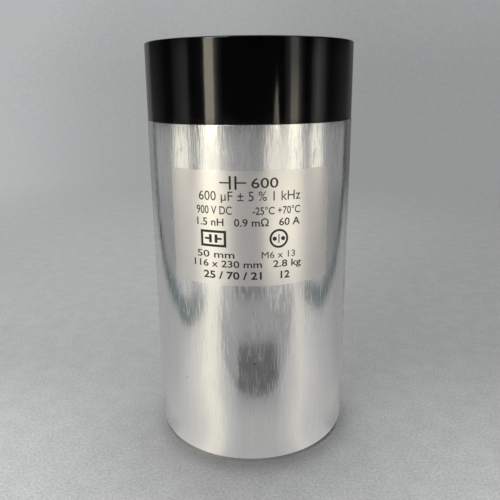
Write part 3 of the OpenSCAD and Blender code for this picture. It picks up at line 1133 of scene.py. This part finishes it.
# Lines of print: words, left and right edge from the label's middle, height of the line above
# the base, height of its capitals and weight of its strokes, all in millimetres but the last
PRINT = (
    ("600", 0.5, 14.0, 159.0, 5.0, 0.004),
    ("600 µF ± 5 % 1 kHz", -27.0, 26.0, 152.5, 4.8, 0.000),
    ("900 V DC", -28.5, -9.5, 145.5, 4.2, 0.008),
    ("-25°C +70°C", 1.0, 26.0, 145.5, 3.8, 0.008),
    ("1.5 nH   0.9 mΩ   60 A", -28.5, 26.0, 139.5, 3.8, 0.012),
    ("50 mm", -29.0, -8.5, 122.5, 3.6, 0.010),
    ("M6 x 13", 5.5, 23.5, 122.5, 3.5, 0.000),
    ("116 x 230 mm   2.8 kg", -31.0, 27.0, 117.5, 3.6, 0.012),
    ("25 / 70 / 21", -25.5, 5.5, 111.2, 3.9, 0.024),
    ("12", 15.5, 20.5, 111.2, 3.9, 0.020),
)


class CAPACITOR_OT_print(bpy.types.Operator):
    """Prints plain ratings and drawing symbols on the label"""

    bl_idname = "capacitor.print"
    bl_label = "Label print"

    def execute(self, context):
        settings = context.scene.capacitor.label
        shape = bmesh.new()
        # Edges or middle, line width and gap of each symbol, in millimetres
        symbols = [
            *capacitor_symbol(-15.5, -2, 158.2, 165, 0.7, 1.8),
            square_frame(-26.6, 128.2, -12.6, 137, 1.3),
            *capacitor_symbol(-24.2, -15, 130.4, 134.8, 1.0, 1.6),
            *top_view(14.5, 132.7, 5, 1.1),
        ]
        meshes = [printed_words(*line) for line in PRINT]
        meshes.append(printed_shape(symbols))
        for mesh in meshes:
            shape.from_mesh(mesh)
            bpy.data.meshes.remove(mesh)
        bmesh.ops.remove_doubles(shape, verts=shape.verts, dist=WELD)
        # The faces are turned outwards here, because bent and thin letters hide their outside
        bmesh.ops.recalc_face_normals(shape, faces=shape.faces)
        slices = int(settings.width / MM / SLICE_WIDTH)
        for i in range(1, slices):
            bmesh.ops.bisect_plane(
                shape,
                geom=[*shape.verts, *shape.edges, *shape.faces],
                plane_co=((i - slices / 2) * SLICE_WIDTH, 0, 0),
                plane_no=(1, 0, 0),
            )
        foot = CAN_TOP.x + settings.thickness
        for vert in shape.verts:
            radius = foot + vert.co.z * settings.ink_thickness
            vert.co = wrap_round(vert.co.x * MM, vert.co.y * MM, radius)
        finish_piece(from_bmesh("label_print", shape), label_ink(settings), "print")
        return {"FINISHED"}


# ---- Inner pieces ----


def dress(material, *nodes):
    """Gives nodes of the frame a material."""
    for name in nodes:
        for slot in frame["nodes"][name].material_slots:
            slot.material = material


class CAPACITOR_OT_leads(bpy.types.Operator):
    """Finishes the copper leads and straps, and their solder"""

    bl_idname = "capacitor.leads"
    bl_label = "Leads"

    def execute(self, context):
        dress(rolled_copper(), "left_lead", "right_lead", "left_strap", "right_strap")
        dress(tin_solder(), "solder_joints")
        return {"FINISHED"}


class CAPACITOR_OT_windings(bpy.types.Operator):
    """Finishes the three windings"""

    bl_idname = "capacitor.windings"
    bl_label = "Windings"

    def execute(self, context):
        places = ("lower", "middle", "upper")
        tube = plain_plastic(
            "core_plastic", (0.80, 0.77, 0.68), (0.70, 0.67, 0.58), 2 * MM, 0.45, 0.02 * MM
        )
        for material, part in (
            (wound_film(), "winding"),
            (sprayed_zinc(), "end_spray"),
            (tube, "core_tube"),
            (wrap_film(), "wrap"),
        ):
            dress(material, *[place + "_" + part for place in places])
        return {"FINISHED"}


class CAPACITOR_OT_insulation(bpy.types.Operator):
    """Finishes the spacer, the liner and the potting"""

    bl_idname = "capacitor.insulation"
    bl_label = "Insulation"

    def execute(self, context):
        board = plain_plastic(
            "pressboard", (0.50, 0.38, 0.22), (0.38, 0.27, 0.14), 0.8 * MM, 0.8, 0.1 * MM
        )
        sheet = plain_plastic(
            "liner_sheet", (0.74, 0.70, 0.54), (0.66, 0.62, 0.46), 1.5 * MM, 0.55, 0.04 * MM
        )
        dress(board, "base_spacer")
        dress(sheet, "can_liner")
        dress(potting(), "potting_resin")
        return {"FINISHED"}


# ---- Stage ----

# Radius of the flat floor, radius of the bend at its edge, and height of the backdrop
FLOOR_RADIUS, BEND_RADIUS, BACKDROP_TOP = 1.6, 0.8, 2.8
# Where the backdrop starts on each side, as azimuths in degrees
BACKDROP_LEFT = -133
BACKDROP_RIGHT = 135
# Distances between which the lit floor turns into the plain backdrop
FAR_START, FAR_END = 0.4, 1.1
# Fill light of the room, and how bright the room looks in polished surfaces and to the camera
ROOM_FILL, ROOM_MIRRORED, ROOM_SEEN = 0.03, 0.015, 0.4


class CAPACITOR_OT_camera(bpy.types.Operator):
    """Sets up the camera"""

    bl_idname = "capacitor.camera"
    bl_label = "Camera"

    def execute(self, context):
        s = context.scene.capacitor.stage
        data = bpy.data.cameras.new("camera")
        data.lens = s.lens
        data.sensor_width = 36
        data.clip_start = 10 * MM
        camera = bpy.data.objects.new("camera", data)
        context.scene.collection.objects.link(camera)
        side_step = 0.45 * MM
        place = Matrix.Translation((-side_step, -s.eye_distance, s.eye_height))
        look = Matrix.Rotation(math.pi / 2 - s.tilt, 4, "X") @ Matrix.Rotation(s.roll, 4, "Z")
        camera.matrix_world = place @ look
        context.scene.camera = camera
        return {"FINISHED"}


def paper(settings):
    """Pale paper with a fine tooth. Painted lighter on the left and in front; plain far away."""
    f = Finish("paper", Roughness=0.9)
    base = tuple(settings.paper)
    black = (0, 0, 0)
    x, y, z = f.axes()
    rays = f.node("ShaderNodeLightPath").outputs
    mirrored = Number(f.tree, rays["Is Glossy Ray"])
    seen = mirrored.at_least(Number(f.tree, rays["Is Camera Ray"]))
    # Where a point lies from left to right, about as seen from in front of the part
    across = x / (abs(y) + 0.45)
    # Painted light and shade: lighter on the left and in front, darker on the right and behind
    side = f.spread(across, -0.5, 0.5, 1, 0.72)
    front = f.spread(y, -0.15, 0.1, 1.3, 0.76)
    # Painted shadow round the foot, near it and wide, and painted light close under the rounding
    radius = (x * x + y * y).root()
    aside, ahead = x - 2 * MM, y + 8 * MM
    off_middle = (aside * aside + ahead * ahead).root()
    foot = f.spread(off_middle, 0.05, 0.066, 0.70, 1) * f.spread(radius, 0.06, 0.3, 0.94, 1)
    # Painted light: half as light again close under the base's rounding
    foot = foot * f.spread(radius, 0.055, 0.0605, 1.5, 1)
    tooth = f.grain(1.5 * MM, 3, 0.7)
    mottle = f.grain(14 * MM, 3, 0.6)
    fibre = f.spread(tooth, 0.2, 0.8, 0.82, 1.3) * f.spread(mottle, 0.25, 0.75, 0.95, 1.05)
    # The painted light and shade times the fibre, and a painted reflection a tenth darker
    tone = side * front * foot * fibre * f.spread(mirrored, 0, 1, 1, 0.9)
    # The blend holds at its ends, so it runs up to the lightest tone
    lightest = 1.5
    f.feed("Base Color", f.blend(tone / lightest, black, shade(base, lightest)))
    f.relief(tooth, 0.08 * MM)
    # Painted light and shade on the backdrop: darker right and in polished surfaces, lighter up
    # high
    wall = f.spread(across, -0.5, -0.15, 1.03, 0.76) * f.spread(across, -0.1, 0.2, 1, 0.84)
    wall = wall * f.spread(mottle, 0.25, 0.75, 0.96, 1.04)
    wall = wall * (1 - mirrored * f.spread(across, -0.1, 0.2, 0.44, 0.54))
    wall = wall * f.spread(z, 0.2, 0.6, 1.02, 1.14)
    glow = f.node("ShaderNodeEmission", sockets={"Color": f.blend(wall, black, base)})
    far = f.spread(radius, FAR_START, FAR_END) * seen
    mixed = f.node(
        "ShaderNodeMixShader", sockets={0: far, 1: f.shader.outputs[0], 2: glow.outputs[0]}
    )
    f.tree.links.new(mixed.outputs[0], f.output.inputs["Surface"])
    return f.material


# ---- What polished surfaces mirror: painted reflections on glowing cards ----

# Height of the mirrored floor over the real one, and of what lies on it over the mirrored one
CARD_LIFT = 0.3 * MM
# Gap in which the mirrored floor changes its tone
TONE_GAP = 0.5 * MM
# Where the mirrored floor starts, under the rounding of the base, and where it ends
FLOOR_START, FLOOR_END = 54.2 * MM, 3.0
# Steps between the part's foot and the sheet's edge
SHEET_STEPS = 8
# Brightness of the sheet, and of its edge in front
SHEET_GLOW, EDGE_GLOW = 0.45, 0.20
# Width of the sheet's edge, and least width of the strip past it
EDGE_WIDTH, STRIP_WIDTH = 8 * MM, 70 * MM
# Brightness past the sheet before the backdrop starts, on the left and on the right
LEFT_END_GLOW, RIGHT_END_GLOW = 0.12, 0.045
# How many degrees before the backdrop that is
END_WIDTH = 7

# Bright things on the floor: azimuth, width and softness in degrees, and what they add to the
# sheet, the strip past its edge, the table near and further off, and the far floor
GLOWS = (
    (-79, 22, 3, 0.00, 0.00, 0.26, 0.08, 0.68),
    (-48, 40, 20, 0.30, 0.12, 0.15, 0.25, 0.05),
    (-41, 18, 6, 0.20, 0.00, 0.00, 0.00, 0.00),
    (-44, 24, 3, 0.00, 0.00, 0.40, 0.82, 0.68),
    (-41, 16, 3, 0.00, 0.50, 0.05, 0.05, 0.00),
    (-27, 10, 5, 0.00, 0.00, 0.05, 0.45, 0.20),
    (31, 30, 4, 0.00, 0.00, -0.04, 0.92, 0.57),
    (53, 34, 14, 0.16, 0.05, 0.06, 0.12, 0.05),
    (51, 10, 5, 0.10, 0.00, 0.00, 0.00, 0.00),
    (51, 13, 3, 0.00, 0.25, 0.30, 0.55, 0.72),
    (76, 17, 3, 0.00, 0.00, 0.18, 0.00, 0.66),
)

# Upright lights round the room: azimuth in degrees, brightness low down and higher up
ROOM_LIGHTS = (
    (BACKDROP_LEFT, 0.13, 0.10),
    (-112, 0.09, 0.07),
    (-97, 0.02, 0.01),
    (-89, 0.02, 0.02),
    (-84, 0.15, 0.15),
    (-72, 0.45, 0.42),
    (-67.5, 0.42, 0.40),
    (-64.5, 0.06, 0.06),
    (-60, 0.01, 0.01),
    (-50, 0.05, 0.05),
    (-47, 0.30, 0.30),
    (-46, 5.20, 5.00),
    (-37, 5.20, 5.00),
    (-36, 1.20, 1.10),
    (-32, 0.22, 0.22),
    (-28, 0.01, 0.01),
    (0, 0.01, 0.01),
    (20, 0.01, 0.01),
    (35, 0.01, 0.01),
    (42, 0.60, 0.35),
    (43.5, 3.20, 1.30),
    (50.7, 3.20, 1.30),
    (51.7, 1.00, 0.45),
    (56, 0.12, 0.10),
    (61, 0.01, 0.01),
    (66, 0.05, 0.05),
    (71, 0.55, 0.50),
    (75.5, 1.05, 0.90),
    (80, 0.60, 0.55),
    (88, 0.10, 0.10),
    (94, 0.03, 0.03),
    (112, 0.09, 0.07),
    (BACKDROP_RIGHT, 0.13, 0.10),
)
# Distance of those lights, and the heights at which their brightness is given
ROOM_DISTANCE = 1.0
ROOM_HEIGHTS = (0.135, 0.27, 0.33, 0.9)

# Painted dark patch before the sheet's edge: azimuths in degrees, far side and its brightness
DARK_PATCH_AZIMUTHS = range(-13, 26)
DARK_PATCH_END, DARK_PATCH_GLOW = 0.212, 0.13
# Painted reflections on level cards: ends along X and Y, height and brightness; one is the lamp
LEVEL_CARDS = (
    ("reflected_shelf", (-0.093, 0.08), (-0.312, -0.356), 2 * CARD_LIFT, 0.12),
    ("reflected_ceiling", (-1.0, 1.2), (-0.9, 1.4), 1.7, 0.85),
)
# A leaning light: its distance, and the azimuth, height and brightness of its corners
SLOPE_DISTANCE = 0.9
SLOPE = (((23.5, 0.135, 0.4), (27.4, 0.215, 1.2)), ((30.5, 0.135, 3.4), (28.4, 0.215, 3.4)))


def card_material():
    """A plain card that glows as its points say: a painted reflection, not a lamp."""
    material = bpy.data.materials.new("reflected_card")
    material.use_nodes = True
    tree = material.node_tree
    tree.nodes.clear()
    level = add_node(tree, "ShaderNodeAttribute", {"attribute_name": "glow"})
    light = add_node(tree, "ShaderNodeEmission", sockets={"Color": level.outputs["Color"]})
    add_node(tree, "ShaderNodeOutputMaterial", sockets={"Surface": light.outputs[0]})
    return material


def ramp(value, low, high):
    """0 below a range, 1 above it and smooth in it."""
    t = min(1, max(0, (value - low) / (high - low)))
    return t * t * (3 - 2 * t)


def glow_colour(level, cool=0):
    """A grey of the given brightness, warm where bright, with less red where it is cool."""
    warm = ramp(level, 0.3, 1.0)
    amber = ramp(level, 1.2, 4.0)
    red = 1 - 0.18 * cool
    green = 1 - 0.035 * warm - 0.04 * amber
    blue = 1.02 - 0.17 * warm - 0.12 * amber
    return (level * red, level * green, level * blue, 1)


def around(azimuth, distance, z):
    """The point at an azimuth in degrees, a distance from the axis and a height."""
    a = math.radians(azimuth)
    return Vector((distance * math.sin(a), -distance * math.cos(a), z))


def reflected_card(name, rows, material):
    """A card that only polished surfaces show. Each row holds places with their glow."""
    shape = bmesh.new()
    add_rows(shape, [[place for place, *levels in row] for row in rows])
    piece = from_bmesh(name, shape)
    glow = piece.data.color_attributes.new(name="glow", type="FLOAT_COLOR", domain="POINT")
    colours = [glow_colour(*levels) for row in rows for place, *levels in row]
    glow.data.foreach_set("color", [part for colour in colours for part in colour])
    piece.data.materials.append(material)
    for rays in ("camera", "diffuse", "shadow", "transmission"):
        setattr(piece, "visible_" + rays, False)


def sheet_edge(azimuth):
    """Distance of the pale sheet's edge from the axis, at an azimuth in degrees."""
    farthest = 2.8
    a = math.radians(abs(azimuth))
    aside = math.sin(a)
    behind = max(0, -math.cos(a))
    # The side of the sheet lies at half_width + flare * y + bow * y * y from the middle
    half_width, flare, bow = 0.248 + 0.044 * ramp(azimuth, 75, 94), 0.55, 0.275
    if azimuth < 0:
        half_width, flare, bow = 0.208 + 0.060 * ramp(-azimuth, 68, 92), 0.51, 0.38
    square = bow * behind * behind
    spread = aside - flare * behind
    inside = spread * spread - 4 * square * half_width
    if inside < 0:
        side = farthest
    elif square < 1e-4:
        # Beside the part and in front of it, the side is a straight line
        side = half_width / max(0.05, aside)
    else:
        side = (spread - math.sqrt(inside)) / (2 * square)
    # Its front edge is nearest at the middle, and curves away towards both sides
    nearest, rise, middle, reach, power = 0.128, 0.173, 4, 43, 3.2
    front = nearest + rise * (abs(azimuth - middle) / reach) ** power
    return min(front, side, farthest)


def floor_levels(azimuth):
    """Brightness of the sheet, the strip past it, the table near and further off, and the rest."""
    away = abs(azimuth)
    aside = ramp(away, 42, 62)
    left = ramp(-azimuth, 80, 112)
    right = ramp(azimuth, 80, 112)
    front_right = ramp(azimuth, -10, 15) * (1 - aside)
    # Each is dimmer at the sides, at the back or at the front right
    levels = [
        SHEET_GLOW - 0.11 * right - 0.05 * left,
        0.33 - 0.16 * aside - 0.03 * ramp(away, 90, 105) - 0.07 * ramp(away, 112, 124),
        0.36 - 0.06 * aside - 0.08 * right,
        0.33 - 0.03 * aside - 0.08 * right,
        0.35 - 0.06 * right - 0.06 * front_right,
    ]
    for centre, width, softness, *extras in GLOWS:
        past_edge = abs(azimuth - centre) - width / 2
        inside = 1 - ramp(past_edge, -softness, softness)
        levels = [level + extra * inside for level, extra in zip(levels, extras)]
    if azimuth < BACKDROP_LEFT + END_WIDTH or azimuth > BACKDROP_RIGHT - END_WIDTH:
        levels[1:] = [LEFT_END_GLOW if azimuth < 0 else RIGHT_END_GLOW] * 4
    return levels


def sheet_level(azimuth, distance):
    """Brightness of the sheet. Near the part's foot its bands lie further to the front."""
    near = 1 - ramp(distance, 60 * MM, 150 * MM)
    # The bands are shifted most, by 18 degrees, at an azimuth of 40
    shift = 18 * near * math.sin(math.pi * min(1, abs(azimuth) / 80))
    level = floor_levels(azimuth + math.copysign(shift, azimuth))[0]
    level = SHEET_GLOW + (level - SHEET_GLOW) * (1 - 0.2 * near)
    # Painted shade: darker near the foot at the sides, and before the dark patch in front
    in_shade = ramp(abs(azimuth), 55, 66) * (1 - ramp(distance, 60 * MM, 75 * MM))
    painted_shade_before_patch = ramp(distance, 95 * MM, 128 * MM) * (1 - ramp(abs(azimuth - 5), 14, 26))
    return level * (1 - 0.35 * in_shade - 0.22 * painted_shade_before_patch)


def mirrored_floor(azimuth):
    """Places with their glow along one azimuth: the sheet, its edge, the strip and the table."""
    strip_glow, table, middle, room = floor_levels(azimuth)[1:]
    # Towards the sides the sheet's edge is seen from the side, so that the strip looks wider
    half_strip = math.copysign(4.5 * ramp(abs(azimuth), 60, 80), azimuth)
    edge = sheet_edge(azimuth - half_strip)
    past = edge + max(STRIP_WIDTH, sheet_edge(azimuth + half_strip) - edge)
    rim = EDGE_GLOW + (strip_glow - EDGE_GLOW) * ramp(abs(azimuth), 30, 50)
    cool = ramp(abs(azimuth), 60, 75)
    stops = []
    for i in range(SHEET_STEPS + 1):
        reach = FLOOR_START + (edge - FLOOR_START) * i / SHEET_STEPS
        stops.append((reach, sheet_level(azimuth, reach)))
    stops += [(edge + TONE_GAP, rim, cool), (edge + EDGE_WIDTH, rim, cool)]
    stops += [(edge + EDGE_WIDTH + TONE_GAP, strip_glow, cool), (past, strip_glow, cool)]
    stops.append((past + TONE_GAP, table))
    rings = ((0.36, table), (0.42, middle), (0.75, middle), (1.0, room))
    for i, (reach, level) in enumerate(rings):
        stops.append((max(past + (i + 2) * TONE_GAP, reach), level))
    stops.append((FLOOR_END, room))
    return [(around(azimuth, reach, CARD_LIFT), *levels) for reach, *levels in stops]


def mirrored_dark_patch(azimuth):
    """Places with their glow along one azimuth, from the sheet's edge to the patch's far side."""
    reaches = (sheet_edge(azimuth), DARK_PATCH_END)
    return [(around(azimuth, reach, 2 * CARD_LIFT), DARK_PATCH_GLOW) for reach in reaches]


def mirrored_room(azimuth, low, high):
    """Places with their glow up the room's wall at one azimuth. The top is dim at the sides."""
    top = high * (1 - 0.7 * ramp(abs(azimuth), 52, 62))
    levels = (low, high, top, top)
    return [(around(azimuth, ROOM_DISTANCE, z), glow) for z, glow in zip(ROOM_HEIGHTS, levels)]


# ---- Lamps and stage ----

# Lamps: name, place, width, brightness, and whether polished surfaces show them
LAMPS = (
    ("overhead", (0.1, 0.5, 1.7), 1.8, 4.1, False),
    ("front_left", (-0.5, -0.7, 0.7), 0.4, 5.2, True),
)


def square_lamp(name, place, width, radiance, mirrored):
    """A square lamp of the given brightness, aimed at the foot of the part."""
    data = bpy.data.lights.new(name, "AREA")
    data.size = width
    data.energy = radiance * math.pi * width * width
    lamp = bpy.data.objects.new(name, data)
    bpy.context.scene.collection.objects.link(lamp)
    lamp.location = place
    lamp.rotation_euler = lamp.location.to_track_quat("Z", "Y").to_euler()
    lamp.visible_camera = False
    lamp.visible_glossy = mirrored


class CAPACITOR_OT_stage(bpy.types.Operator):
    """Sets up the floor, the backdrop, the lights and what polished surfaces mirror"""

    bl_idname = "capacitor.stage"
    bl_label = "Stage"

    def execute(self, context):
        self.add_cove(context.scene.capacitor.stage)
        self.add_world(context)
        self.add_reflected_room()
        for lamp in LAMPS:
            square_lamp(*lamp)
        return {"FINISHED"}

    def add_cove(self, settings):
        """A round floor that curves up into a wall, of which polished surfaces show the back."""
        material = paper(settings)
        bend = arc((FLOOR_RADIUS, BEND_RADIUS), BEND_RADIUS, -90, 0, steps=24)
        profile = [*bend, (FLOOR_RADIUS + BEND_RADIUS, BACKDROP_TOP)]
        disc = bmesh.new()
        bmesh.ops.create_circle(disc, cap_ends=True, radius=FLOOR_RADIUS, segments=180)
        pieces = [from_bmesh("floor", disc)]
        for name, start, end in (
            ("front_wall", BACKDROP_LEFT, BACKDROP_RIGHT),
            ("back_wall", BACKDROP_RIGHT, BACKDROP_LEFT + 360),
        ):
            shape = bmesh.new()
            azimuths = range(start, end + 1)
            add_rows(shape, [[around(azimuth, r, z) for r, z in profile] for azimuth in azimuths])
            wall = from_bmesh(name, shape)
            wall.data.shade_smooth()
            wall.visible_diffuse = False
            wall.visible_shadow = False
            wall.visible_glossy = name == "back_wall"
            pieces.append(wall)
        for piece in pieces:
            piece.data.materials.append(material)

    def add_world(self, context):
        """A dim room that looks pale where the camera sees it."""
        world = bpy.data.worlds.new("room")
        world.use_nodes = True
        tree = world.node_tree
        tree.nodes.clear()
        rays = add_node(tree, "ShaderNodeLightPath").outputs
        fill = (ROOM_FILL, ROOM_FILL, ROOM_FILL, 1)
        for ray, level in (("Is Glossy Ray", ROOM_MIRRORED), ("Is Camera Ray", ROOM_SEEN)):
            mix = add_node(
                tree,
                "ShaderNodeMix",
                {"data_type": "RGBA"},
                {0: rays[ray], 6: fill, 7: (level, level, level, 1)},
            )
            fill = mix.outputs[2]
        room = add_node(tree, "ShaderNodeBackground", sockets={"Color": fill})
        add_node(tree, "ShaderNodeOutputWorld", sockets={"Surface": room.outputs[0]})
        context.scene.world = world

    def add_reflected_room(self):
        """Painted reflections of the sheet that the can stands on, the table and the room past it.
        """
        azimuths = range(BACKDROP_LEFT, BACKDROP_RIGHT + 1)
        cards = {
            "reflected_floor": [mirrored_floor(azimuth) for azimuth in azimuths],
            "reflected_box": [mirrored_dark_patch(azimuth) for azimuth in DARK_PATCH_AZIMUTHS],
        }
        for name, xs, ys, z, level in LEVEL_CARDS:
            cards[name] = [[(Vector((x, y, z)), level) for x in xs] for y in ys]
        cards["reflected_room"] = [mirrored_room(*light) for light in ROOM_LIGHTS]
        cards["reflected_slope"] = [
            [(around(azimuth, SLOPE_DISTANCE, z), level) for azimuth, z, level in row]
            for row in SLOPE
        ]
        material = card_material()
        for name, rows in cards.items():
            reflected_card(name, rows, material)


# ---- Panel and registration ----

# Groups of settings, and the operators in the order in which main calls them
GROUPS = ("can", "cover", "terminals", "plugs", "label", "stage")
PIECES = ("can", "cover", "terminals", "plugs", "label", "print")
INNER_PIECES = ("leads", "windings", "insulation")
OPERATORS = ("camera", *PIECES, *INNER_PIECES, "stage")


class CAPACITOR_PT_pieces(bpy.types.Panel):
    """Lists the capacitor's pieces and their sizes"""

    bl_idname = "CAPACITOR_PT_pieces"
    bl_label = "Film capacitor"
    bl_space_type = "VIEW_3D"
    bl_region_type = "UI"
    bl_category = "Capacitor"

    def draw(self, context):
        settings = context.scene.capacitor
        for group in GROUPS:
            box = self.layout.box()
            box.label(text=group.capitalize())
            for name in getattr(settings, group).__annotations__:
                box.prop(getattr(settings, group), name)
        for name in OPERATORS:
            self.layout.operator("capacitor." + name)


CLASSES = (
    CanSettings,
    CoverSettings,
    TerminalSettings,
    PlugSettings,
    LabelSettings,
    StageSettings,
    CapacitorSettings,
    CAPACITOR_OT_camera,
    CAPACITOR_OT_can,
    CAPACITOR_OT_cover,
    CAPACITOR_OT_terminals,
    CAPACITOR_OT_plugs,
    CAPACITOR_OT_label,
    CAPACITOR_OT_print,
    CAPACITOR_OT_leads,
    CAPACITOR_OT_windings,
    CAPACITOR_OT_insulation,
    CAPACITOR_OT_stage,
    CAPACITOR_PT_pieces,
)


def register():
    for cls in CLASSES:
        bpy.utils.register_class(cls)
    bpy.types.Scene.capacitor = bpy.props.PointerProperty(type=CapacitorSettings)


def unregister():
    del bpy.types.Scene.capacitor
    for cls in reversed(CLASSES):
        bpy.utils.unregister_class(cls)


def main():
    register()
    bpy.context.scene.view_settings.view_transform = "Standard"
    for name in OPERATORS:
        getattr(bpy.ops.capacitor, name)()


if __name__ == "__main__":
    main()
